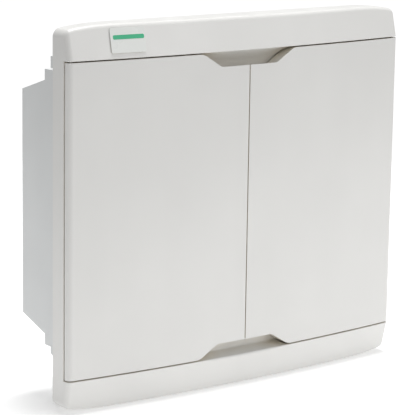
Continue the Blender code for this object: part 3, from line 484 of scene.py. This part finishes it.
def make_materials():
    return {
        # The shell gets a warm painted shade in its recesses and gaps.
        "shell": plastic("shell_gloss", (0.80, 0.795, 0.775), 0.34, grain=0.02,
                         painted_shade=(0.87, 0.82, 0.73)),
        "shell_inner": plastic("shell_matt", (0.80, 0.795, 0.775), 0.5, grain=0.12),
        "back_box": plastic("box_grey", (0.765, 0.78, 0.78), 0.45, grain=0.10, streaks=0.03,
                            cloud=0.03),
        "badge": plastic("badge_plate", (0.80, 0.815, 0.79), 0.28, grain=0.02),
        "badge_bar": plastic("badge_green", (0.035, 0.46, 0.23), 0.35, cloud=0.05),
        "zinc_steel": metal("zinc_plate", (0.66, 0.66, 0.63), 0.32),
        "screw_steel": metal("screw_steel", (0.60, 0.60, 0.58), 0.28, brush=(6.0, 6.0, 6.0)),
        "brass": metal("bar_brass", (0.80, 0.60, 0.27), 0.26),
        "busbar": metal("busbar_copper", (0.76, 0.38, 0.24), 0.28, tarnish=0.3),
        "holder": plastic("holder_nylon", (0.30, 0.32, 0.35), 0.5, grain=0.12, cloud=0.05),
        "magnet_holder": plastic("magnet_nylon", (0.05, 0.05, 0.055), 0.45, grain=0.12, cloud=0.08),
        "device": plastic("device_thermoset", (0.82, 0.82, 0.80), 0.42, grain=0.10),
        "toggle_red": plastic("toggle_red", (0.50, 0.035, 0.03), 0.36, cloud=0.05),
        "toggle_blue": plastic("toggle_blue", (0.03, 0.09, 0.30), 0.36, cloud=0.05),
        "toggle_black": plastic("toggle_black", (0.022, 0.022, 0.025), 0.38, cloud=0.1),
        "button_yellow": plastic("button_yellow", (0.72, 0.50, 0.04), 0.36, cloud=0.05),
        "window_green": plastic("window_green", (0.03, 0.30, 0.10), 0.2, grain=0.01, cloud=0.05),
        "label": ruled_label("label_paper", (0.86, 0.86, 0.84), (0.25, 0.27, 0.30), MODULE,
                             -9 * MODULE),
    }


MATERIALS = make_materials()


# ---------------------------------------------------------------- the bowed front

def bow_depth(x):
    return SIDE_DEPTH + BOW * (1 - (x / HALF_WIDTH) ** 2)


def round_off(distance, radius):
    """How far a rounded edge falls back at a distance past the start of its rounding."""
    distance = min(max(distance, 0.0), radius)
    return radius - math.sqrt(radius ** 2 - distance ** 2)


def front_depth(x):
    return bow_depth(x) - round_off(abs(x) - PIVOT_X, SIDE_ROUND)


def half_height(x):
    """Half the height of the surround, which falls a little towards its ends."""
    end = max(0.0, abs(x) - (HALF_WIDTH - END_LENGTH)) / END_LENGTH
    corner = round_off(abs(x) - (HALF_WIDTH - CORNER_ROUND), CORNER_ROUND)
    return HALF_HEIGHT - END_DROP * end ** 2 - corner


def stations(inset=0.0, steps=36, turns=10):
    """Places along X for sections, close together round the ends."""
    end = HALF_WIDTH - inset
    turning = [end - SIDE_ROUND * (1 - math.sin(math.pi / 2 * (1 - i / turns)))
               for i in range(turns)]
    flat = [(end - SIDE_ROUND) * (1 - i / steps) for i in range(steps + 1)]
    half = turning + flat
    return half + [-x for x in reversed(half[:-1])]


def rail_section(x, side):
    """Section of a rail's outer body at x: ledge, rounded lip, leaning front, rounded edge."""
    depth = front_depth(x)
    lean = math.degrees(LEAN_ANGLE)

    def front(z):
        return RAIL_LEAN * (z - RAIL_SEAM) - depth

    lip_z = RAIL_SEAM + LIP_ROUND
    lip = (front(lip_z) + LIP_ROUND / math.cos(LEAN_ANGLE), lip_z)
    top = half_height(x)
    edge_z = top - RAIL_ROUND
    edge = (front(edge_z) + RAIL_ROUND / math.cos(LEAN_ANGLE), edge_z)
    outline = [(0, RAIL_SEAM)] + arc(lip, LIP_ROUND, 270, 180 - lean, 4)
    outline += arc(edge, RAIL_ROUND, 180 - lean, 90, 8)
    outline += arc((-REAR_ROUND, top - REAR_ROUND), REAR_ROUND, 90, 0, 3)
    return [(x, y, side * z) for y, z in outline]


def rail_hollow_section(x, side):
    """Section of the space inside a rail."""
    depth = front_depth(x) - WALL
    ledge = RAIL_SEAM + WALL
    top = half_height(x) - WALL
    front_top = RAIL_LEAN * (top - WALL - ledge) - depth
    outline = [(-depth, ledge), (front_top, top - WALL), (front_top + WALL, top),
               (OVERLAP, top), (OVERLAP, ledge)]
    return [(x, y, side * z) for y, z in outline]


def pull_outline(side, grow, drop):
    """Outline (x, z) of a finger pull, its walls moved out by grow and its floor lowered by drop."""
    floor = DOOR_HALF_HEIGHT - PULL_DEPTH - grow - drop
    half_floor = PULL_HALF_FLOOR + grow * math.tan(PULL_SLOPE / 2) - drop / math.tan(PULL_SLOPE)
    shoulder = half_floor + (PULL_DEPTH + grow + drop) / math.tan(PULL_SLOPE)
    outer = shoulder + 3 * PULL_DEPTH
    above = DOOR_HALF_HEIGHT + CUT_PAST
    half = [
        (half_floor, floor, PULL_FLOOR_ROUND),
        (shoulder, DOOR_HALF_HEIGHT, max(PULL_SHOULDER_ROUND - grow, CUT_PAST)),
        (outer, DOOR_HALF_HEIGHT + 0.3 * MM, 0),
        (outer, above, 0),
    ]
    corners = half + [(-x, z, radius) for x, z, radius in reversed(half)]
    return [(x, side * z) for x, z in rounded(corners, 8)]


def pull_cutter(side, grow, back):
    """Space of a finger pull. Its floor falls away behind the door's front."""
    front, rear = -bow_depth(0), DOOR_EDGE_DEPTH - bow_depth(0)
    rings = [(CUTTER_FRONT, 0), (front, 0), (rear, PULL_FALL), (back, PULL_FALL)]
    return loft("pull", [[(x, y, z) for x, z in pull_outline(side, grow, drop)]
                         for y, drop in rings])


# ---------------------------------------------------------------- surround

def side_wall_outline():
    """Plan (x, y) of the surround's right side wall, with the gutter for the door's edge."""
    gutter = arc((PIVOT_X, PIVOT_Y), BARREL_RADIUS + SEAM_CLEARANCE, TIP_ANGLE, 90, 12)
    tip = [(HALF_WIDTH, gutter[0][1] + TIP_ROUND),
           (HALF_WIDTH - 0.1 * TIP_ROUND, gutter[0][1] + 0.4 * TIP_ROUND)]
    inner = HALF_WIDTH - WALL
    shelf = PIVOT_X - SIDE_SHELF
    rear = arc((HALF_WIDTH - REAR_ROUND, -REAR_ROUND), REAR_ROUND, 90, 0, 3)
    return rear + tip + gutter + [
        (shelf, FLANGE_FRONT), (shelf, FLANGE_BACK), (inner, FLANGE_BACK), (inner, 0),
    ]


def cove_outline(side):
    """Outline (x, z) of a pocket's body inside a finger pull."""
    floor = DOOR_HALF_HEIGHT - PULL_DEPTH + COVE_CLEARANCE
    half_floor = PULL_HALF_FLOOR - COVE_CLEARANCE * math.tan(PULL_SLOPE / 2)
    top = RAIL_SEAM + OVERLAP
    half_top = half_floor + (top - floor) / math.tan(PULL_SLOPE)
    return [(-half_floor, side * floor), (half_floor, side * floor),
            (half_top, side * top), (-half_top, side * top)]


def scoop_outline(side):
    """Side view (y, z) of the hand space in a pocket: a deep curve above, a ramp below."""
    crease, radius = (RAIL_SEAM, COVE_RADIUS) if side > 0 else (RAIL_SEAM - RAMP_RISE, RAMP_ROUND)
    edge = COVE_BACK - (COVE_RADIUS if side > 0 else RAMP_DEPTH)
    inner = COVE_INNER - OVERLAP
    corners = [(CUTTER_FRONT, inner, 0), (COVE_BACK, inner, 0), (COVE_BACK, crease, radius),
               (edge, RAIL_SEAM, 0), (CUTTER_FRONT, RAIL_SEAM, 0)]
    return [(y, side * z) for y, z in rounded(corners, 24)]


def add_cove(surround, side):
    """Pocket behind a finger pull, with a back wall that reaches past the door's edge."""
    low, high = sorted((side * COVE_INNER, side * (RAIL_SEAM + 1.2 * OVERLAP)))
    back = box("cove_back", (-COVE_HALF_WIDTH, COVE_BACK, low),
               (COVE_HALF_WIDTH, FLANGE_BACK - OVERLAP, high))
    front = prism("cove_front", cove_outline(side), "Y", COVE_BACK - COVE_RADIUS + CUT_PAST,
                  COVE_BACK + OVERLAP)
    half = COVE_HALF_WIDTH + CUT_PAST
    cut(front, prism("scoop", scoop_outline(side), "X", -half, half))
    join(surround, back)
    join(surround, front)


def soften_pocket_lip(surround):
    """A larger rounding on the lower rail's edge where it forms the pocket's mouth."""
    rings = []
    lean = math.degrees(LEAN_ANGLE)
    for step in range(-POCKET_LIP_STEPS, POCKET_LIP_STEPS + 1):
        share = step / POCKET_LIP_STEPS
        radius = LIP_ROUND + (POCKET_LIP_ROUND - LIP_ROUND) * (1 - share ** 4)
        x = share * POCKET_LIP_HALF
        front = RAIL_LEAN * radius - front_depth(x)
        centre = (front + radius / math.cos(LEAN_ANGLE), RAIL_SEAM + radius)
        curve = arc(centre, radius, 270, 180 - lean, 10)
        outline = curve + [(curve[-1][0] - OVERLAP, curve[-1][1]),
                           (curve[-1][0] - OVERLAP, RAIL_SEAM - OVERLAP / 2),
                           (curve[0][0], RAIL_SEAM - OVERLAP / 2)]
        rings.append([(x, y, -z) for y, z in outline])
    cut(surround, loft("pocket_lip", rings))


def seat_ring(x, side):
    """Section of a hinge seat at x, its front just inside the rail's leaning front."""
    low, high = RAIL_SEAM + OVERLAP, RAIL_SEAM + SEAT_HEIGHT
    front = OVERLAP - front_depth(x)
    back = PIVOT_Y + BARREL_RADIUS
    outline = [(front + RAIL_LEAN * (low - RAIL_SEAM), low),
               (front + RAIL_LEAN * (high - RAIL_SEAM), high), (back, high), (back, low)]
    return [(x, y, side * z) for y, z in outline]


def add_hinge_seat(surround, side_x, side_z):
    """Block in a rail's end that takes a door's pivot pin."""
    first, last = PIVOT_X - SEAT_REACH, HALF_WIDTH - OVERLAP
    places = [first + (last - first) * i / SEAT_STEPS for i in range(SEAT_STEPS + 1)]
    join(surround, loft("hinge_seat", [seat_ring(side_x * x, side_z) for x in places]))
    ends = (RAIL_SEAM - CUT_PAST, RAIL_SEAM + SEAT_DEPTH)
    low, high = sorted(side_z * end for end in ends)
    cut(surround, rod("seat_bore", PIN_BORE, (side_x * PIVOT_X, PIVOT_Y, low),
                      (side_x * PIVOT_X, PIVOT_Y, high)))


def screw_places():
    """Places (x, z) of the four cover screws."""
    names = ("top_left", "top_right", "bottom_left", "bottom_right")
    corners = [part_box(f"cover_screw_{name}") for name in names]
    return [((low.x + high.x) / 2, (low.z + high.z) / 2) for low, high in corners]


def make_surround():
    """Surround with two leaning rails, side walls, flange, window and pockets."""
    surround = loft("surround_shell", [rail_section(x, 1) for x in stations()])
    join(surround, loft("bottom_rail", [rail_section(x, -1) for x in stations()]))
    height = RAIL_SEAM + 1.5 * OVERLAP
    for outline in (side_wall_outline(), mirrored(side_wall_outline())):
        join(surround, prism("side_wall", outline, "Z", -height, height))
    reach = PIVOT_X - SIDE_SHELF + OVERLAP
    join(surround, box("flange", (-reach, FLANGE_FRONT, -height), (reach, FLANGE_BACK, height)))
    cut(surround, box("window", (-WINDOW_HALF_WIDTH, FLANGE_FRONT - CUT_PAST,
                                 BOX_RAISE - WINDOW_HALF_HEIGHT),
                      (WINDOW_HALF_WIDTH, FLANGE_BACK + CUT_PAST, BOX_RAISE + WINDOW_HALF_HEIGHT)))
    for side in (1, -1):
        inner_stations = stations(WALL, 24, 4)
        cut(surround, loft("rail_hollow", [rail_hollow_section(x, side) for x in inner_stations]))
        add_cove(surround, side)
        for side_x in (-1, 1):
            add_hinge_seat(surround, side_x, side)
    soften_pocket_lip(surround)
    for x, z in screw_places():
        cut(surround, rod("flange_hole", SCREW_HOLE, (x, FLANGE_FRONT - CUT_PAST, z),
                          (x, FLANGE_BACK + CUT_PAST, z)))
    surround.data.shade_smooth()
    surround.data.set_sharp_from_angle(angle=math.radians(30))
    normals = surround.modifiers.new("normals", "WEIGHTED_NORMAL")
    normals.keep_sharp = True
    finish_piece(surround, "enclosure", MATERIALS["shell"], ["front_frame"])


# ---------------------------------------------------------------- doors

def door_outline():
    """Plan (x, y) of the right door's outer body, from its meeting edge round to its hinge."""
    front = [(x, -front_depth(x)) for x in reversed(stations()) if x > 4 * MM]
    barrel = arc((PIVOT_X, PIVOT_Y), BARREL_RADIUS, BARREL_START, 90, 10)
    return ([(MEETING_EDGE, DOOR_EDGE_DEPTH - bow_depth(0)), (MEETING_EDGE, -bow_depth(0))]
            + front + barrel + [(PIVOT_X - BARREL_RADIUS, PIVOT_Y + BARREL_RADIUS)])


def skin(first, last, thickness, steps=24):
    """Plan points (x, y) along the inside of the bowed front."""
    places = [first + (last - first) * i / steps for i in range(steps + 1)]
    return [(x, thickness - bow_depth(x)) for x in places]


def make_door(name, side, node):
    """A hollow door with a rounded hinge edge, pulls, ribs and a boss for its strike."""
    def facing(outline):
        return outline if side > 0 else mirrored(outline)

    height = DOOR_HALF_HEIGHT
    door = prism(name, facing(door_outline()), "Z", -height, height)
    first, last = MEETING_EDGE + WALL, HALF_WIDTH - STILE_WIDTH
    plan = skin(first, last, WALL) + [(last, HOLLOW_BACK), (first, HOLLOW_BACK)]
    hollow = prism("hollow", facing(plan), "Z", WALL - height, height - WALL)
    for end in (-1, 1):
        cut(door, pull_cutter(end, 0, 0))
        cut(hollow, pull_cutter(end, WALL, CUT_PAST))
    cut(door, hollow)
    for end in (-1, 1):
        low, high = sorted((end * (height - BORE_DEPTH), end * (height + CUT_PAST)))
        cut(door, rod("bore", PIN_BORE, (side * PIVOT_X, PIVOT_Y, low),
                      (side * PIVOT_X, PIVOT_Y, high)))
    for z in RIB_HEIGHTS:
        rib = skin(first - OVERLAP, last + OVERLAP, WALL - OVERLAP)
        rib = [(x, y) for x, y in rib if y < RIB_BACK - OVERLAP]
        rib += [(rib[-1][0], RIB_BACK), (rib[0][0], RIB_BACK)]
        join(door, prism("rib", facing(rib), "Z", z - RIB_THICKNESS / 2, z + RIB_THICKNESS / 2))
    boss_low, boss_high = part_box("catch_strike_right" if side > 0 else "catch_strike_left")
    join(door, box("boss", (boss_low.x - BOSS_MARGIN, BOSS_FRONT, boss_low.z - BOSS_MARGIN),
                   (boss_high.x + BOSS_MARGIN, boss_low.y - BOSS_GAP, boss_high.z + BOSS_MARGIN)))
    soften(door, EDGE_ROUND)
    finish_piece(door, node, MATERIALS["shell"], [node])


# ---------------------------------------------------------------- back box

def box_body(name, inset, front):
    """Stepped and tapered body of the back box, or its hollow when it is inset."""
    step = COLLAR_DEPTH - inset

    def ring(half, y):
        across, up = half[0] - inset, half[1] - inset
        return [(-across, y, BOX_RAISE - up), (across, y, BOX_RAISE - up),
                (across, y, BOX_RAISE + up), (-across, y, BOX_RAISE + up)]

    return loft(name, [ring(COLLAR_HALF, front), ring(COLLAR_HALF, step), ring(TAPER_HALF, step),
                       ring(REAR_HALF, BOX_HIGH.y - inset)])


def lug_outlines():
    """Side views (y, z) of the corner lugs behind the rim: the upper and the lower."""
    start = RIM_THICKNESS - OVERLAP
    top, bottom = BOX_HIGH.z, BOX_LOW.z
    under = top - TOP_LUG_HEIGHT
    across, up = BOTTOM_LUG_SLOPE
    above = BOX_RAISE - COLLAR_HALF[1] + OVERLAP
    upper = [(start, under), (LUG_DEPTH, under), (LUG_DEPTH, top), (start, top)]
    lower = [(start, above), (LUG_DEPTH, above), (LUG_DEPTH, bottom + up),
             (LUG_DEPTH - across, bottom), (start, bottom)]
    return upper, lower


def make_back_box():
    """Moulded tub: rim, collar, tapered rear, lugs, posts and knockouts."""
    tub = box_body("back_box_shell", 0, RIM_THICKNESS / 2)
    join(tub, box("rim", (BOX_LOW.x, RIM_FRONT, BOX_LOW.z),
                  (BOX_HIGH.x, RIM_THICKNESS, BOX_HIGH.z)))
    for side in (-1, 1):
        low, high = sorted((side * (COLLAR_HALF[0] + LUG_PROUD),
                            side * (COLLAR_HALF[0] - LUG_WIDTH)))
        for outline in lug_outlines():
            join(tub, prism("lug", outline, "X", low, high))
    cut(tub, box_body("hollow", WALL, -CUT_PAST))
    for x, z in screw_places():
        side = math.copysign(1, x)
        left, right = sorted((side * (COLLAR_HALF[0] - OVERLAP), x - side * POST_HALF))
        join(tub, box("post", (left, POST_FRONT, z - POST_HALF),
                      (right, COLLAR_DEPTH - OVERLAP, z + POST_HALF)))
        start, end = POST_BORE_ENDS
        cut(tub, rod("post_bore", POST_BORE, (x, start, z), (x, end, z)))
    for x in KNOCKOUT_PLACES:
        for side in (-1, 1):
            z = BOX_RAISE + side * COLLAR_HALF[1]
            cut(tub, rod("knockout", KNOCKOUT_RADIUS, (x, KNOCKOUT_DEPTH, z - KNOCKOUT_RECESS),
                         (x, KNOCKOUT_DEPTH, z + KNOCKOUT_RECESS), 64))
    soften(tub, BOX_EDGE, 3, 28)
    finish_piece(tub, "enclosure", MATERIALS["back_box"], ["back_box"])


# ---------------------------------------------------------------- badge

def make_badge():
    """Blank badge with rounded corners and a plain green bar, turned to the rail's bow and lean at
    its middle.
    """
    low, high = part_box("badge_plate")
    centre = (low + high) / 2
    slope = math.atan(2 * BOW * centre.x / HALF_WIDTH ** 2)
    place = Matrix.Translation(centre) @ Matrix.Rotation(slope, 4, "Z") @ Matrix.Rotation(
        -LEAN_ANGLE, 4, "X")

    def plate(name, size, corner, front, back, middle=(0, 0)):
        half_w, half_h = size[0] / 2, size[1] / 2
        outline = rounded([(-half_w, -half_h, corner), (half_w, -half_h, corner),
                           (half_w, half_h, corner), (-half_w, half_h, corner)])
        outline = [(x + middle[0], z + middle[1]) for x, z in outline]
        made = prism(name, outline, "Y", front, back)
        made.data.transform(place)
        return made

    front = -BADGE_HALF_THICKNESS
    badge = plate("badge_face", BADGE_SIZE, BADGE_CORNER, front, BADGE_HALF_THICKNESS)
    soften(badge, 0.15 * MM, 2)
    finish_piece(badge, "enclosure", MATERIALS["badge"], ["badge_plate"])
    bar = plate("badge_bar", BAR_SIZE, BAR_CORNER, front - BAR_PROUD, front + BAR_SUNK, BAR_MIDDLE)
    soften(bar, 0.05 * MM, 2)
    finish_piece(bar, "enclosure", MATERIALS["badge_bar"])


# ---------------------------------------------------------------- carried-over nodes

# Start of a node's name: its material, and the rounding of its edges in millimetres.
CAD_FINISHES = {
    "dead_front": ("shell_inner", 0.5), "blanking_strip": ("shell_inner", 0.35),
    "chassis_upright": ("zinc_steel", 0.3), "din_rail": ("zinc_steel", 0.2),
    "catch_strike": ("zinc_steel", 0.25), "hinge_pin": ("screw_steel", 0.3),
    "cover_screw": ("screw_steel", 0.25), "neutral_bar_holder": ("holder", 0.3),
    "earth_bar_holder": ("holder", 0.3), "neutral_bar": ("brass", 0.3),
    "earth_bar": ("brass", 0.3), "comb_busbar": ("busbar", 0.2),
    "catch_magnet": ("magnet_holder", 0.5), "label_strip": ("label", 0.15),
    "main_switch": ("device", 0.5), "rcd": ("device", 0.5), "mcb": ("device", 0.5),
    "rcd_test_button": ("button_yellow", 0.2),
}


def dress_cad_nodes():
    """Materials and rounded edges for the CAD nodes that stay."""
    for name, obj in frame["nodes"].items():
        if obj.hide_render:
            continue
        prefix = max((p for p in CAD_FINISHES if name.startswith(p)), key=len)
        finish, width = CAD_FINISHES[prefix]
        obj.data.materials.clear()
        obj.data.materials.append(MATERIALS[finish])
        soften_cad(obj, width * MM)


# ---------------------------------------------------------------- toggles and device details

def toggle_shape():
    """Side view (y, z) of a toggle about its pivot, pointing towards -Y, with grip ridges."""
    drum = arc((0, 0), TOGGLE_DRUM, 150, -150, 32)
    lower = list(NECK)
    for i in range(RIDGES):
        start = RIDGE_START - i * RIDGE_PITCH
        lower += [(start - along, -height) for along, height in RIDGE_PROFILE]
    tip = arc((TOGGLE_TIP - TOGGLE_REACH, 0), TOGGLE_TIP, 250, 110, 6)
    upper = [(y, -z) for y, z in reversed(lower)]
    return drum + lower + tip + upper


def make_toggles():
    """A finer toggle in place of each CAD toggle, tilted up as the CAD one is."""
    tilt = Matrix.Rotation(TOGGLE_TILT, 4, "X")
    slots = {"main_switch_toggle": "toggle_red", "rcd_toggle": "toggle_blue"}
    for joint in frame["joints"]:
        body = joint["child"]
        if not body.endswith("_toggle"):
            continue
        low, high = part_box(body)
        half = (high.x - low.x) / 2
        toggle = prism(f"{body}_lever", toggle_shape(), "X", -half, half)
        toggle.data.transform(Matrix.Translation(joint["pos_m"]) @ tilt)
        soften(toggle, 0.3 * MM, 2, 40)
        slot = slots.get(body, "toggle_black")
        finish_piece(toggle, body, MATERIALS[slot], [body])


def make_device_details():
    """A blank rating plate and a state window on the nose of each device."""
    details = (("plate", RATING_PLATE, 0.12 * MM, "device"),
               ("window", STATE_WINDOW, 0.1 * MM, "window_green"))
    for name in frame["nodes"]:
        if f"{name}_toggle_pivot" not in JOINTS:
            continue
        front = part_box(name)[0].y
        pivot = Vector(JOINTS[f"{name}_toggle_pivot"]["pos_m"])
        for label, (half, proud, bottom, top), rounding, finish in details:
            detail = box(f"{name}_{label}", (pivot.x - half, front - proud, pivot.z + bottom),
                         (pivot.x + half, front + DETAIL_SUNK, pivot.z + top))
            soften(detail, rounding, 2)
            finish_piece(detail, "enclosure", MATERIALS[finish])


# ---------------------------------------------------------------- camera, floor and light

CAMERA_YAW = math.radians(38.05)
CAMERA_PITCH = math.radians(11.27)
CAMERA_ROLL = math.radians(0.88)
CAMERA_DISTANCE = 1.9999
CAMERA_TARGET = Vector((-0.01998, 0.0, -0.00778))
LENS = 178.97


def make_camera():
    """Long lens, from the left and a little above."""
    forward = Vector((math.sin(CAMERA_YAW) * math.cos(CAMERA_PITCH),
                      math.cos(CAMERA_YAW) * math.cos(CAMERA_PITCH), -math.sin(CAMERA_PITCH)))
    level = Vector((math.cos(CAMERA_YAW), -math.sin(CAMERA_YAW), 0))
    upright = level.cross(forward)
    right = math.cos(CAMERA_ROLL) * level + math.sin(CAMERA_ROLL) * upright
    up = right.cross(forward)
    data = bpy.data.cameras.new("camera")
    data.lens = LENS
    data.sensor_width = 36
    camera = bpy.data.objects.new("camera", data)
    bpy.context.scene.collection.objects.link(camera)
    turn = Matrix((right, up, -forward)).transposed()
    camera.matrix_world = (Matrix.Translation(CAMERA_TARGET - forward * CAMERA_DISTANCE)
                           @ turn.to_4x4())
    bpy.context.scene.camera = camera


FLOOR_RADIUS = 1.1
FLOOR_CENTRE = (0.15, 0.1)
FLOOR_GLOW = 0.28
FLOOR_GAP = 0.5 * MM                # below the surround
FLOOR_THICKNESS = 20 * MM
BACKGROUND = 1.05
AMBIENT = 0.38

# Name: place, point aimed at, diameter in metres and power in watts.
LIGHTS = {
    "top_light": ((0.15, 0.1, 2.3), (0.15, 0.1, 0), 1.0, 42),
    "back_light": ((0.5, 1.0, 1.8), (0.2, 0.2, -0.18), 1.0, 4),
    "front_light": ((1.1, -1.9, 0.9), (0, 0, 0), 1.6, 9),
}


def area_light(name, place, aim, size, power):
    """Round soft light that no camera sees."""
    data = bpy.data.lights.new(name, "AREA")
    data.shape = "DISK"
    data.size = size
    data.energy = power
    light = bpy.data.objects.new(name, data)
    bpy.context.scene.collection.objects.link(light)
    light.location = place
    light.rotation_euler = (Vector(aim) - Vector(place)).to_track_quat("-Z", "Y").to_euler()
    light.visible_camera = False


def make_world():
    """White surroundings, which light the object less brightly than they look."""
    world = bpy.data.worlds.new("studio")
    world.use_nodes = True
    tree = world.node_tree
    background = tree.nodes["Background"]
    background.inputs["Color"].default_value = WHITE
    strength = tree.nodes.new("ShaderNodeMapRange")
    strength.inputs["To Min"].default_value = AMBIENT
    strength.inputs["To Max"].default_value = BACKGROUND
    seen = tree.nodes.new("ShaderNodeLightPath").outputs["Is Camera Ray"]
    tree.links.new(seen, strength.inputs["Value"])
    tree.links.new(strength.outputs[0], background.inputs["Strength"])
    bpy.context.scene.world = world


def make_stage():
    """Round pale table under the surround, glowing a little, and three soft lights."""
    level = FRAME_LOW.z - FLOOR_GAP
    floor = rod("floor", FLOOR_RADIUS, (*FLOOR_CENTRE, level - FLOOR_THICKNESS),
                (*FLOOR_CENTRE, level), 128)
    nodes = Nodes("floor_paper")
    tone = nodes.mix(nodes.noise(FLOOR_SCALE), shade(WHITE[:3], 0.91), shade(WHITE[:3], 0.93))
    nodes.set(Base_Color=tone, Roughness=0.9, Emission_Color=WHITE, Emission_Strength=FLOOR_GLOW)
    floor.data.materials.append(nodes.material)
    for name, setting in LIGHTS.items():
        area_light(name, *setting)


make_camera()
make_surround()
make_door("door_left_shell", -1, "door_left")
make_door("door_right_shell", 1, "door_right")
make_back_box()
make_badge()
make_toggles()
make_device_details()
dress_cad_nodes()
make_stage()
make_world()
bpy.context.scene.view_settings.view_transform = "Standard"
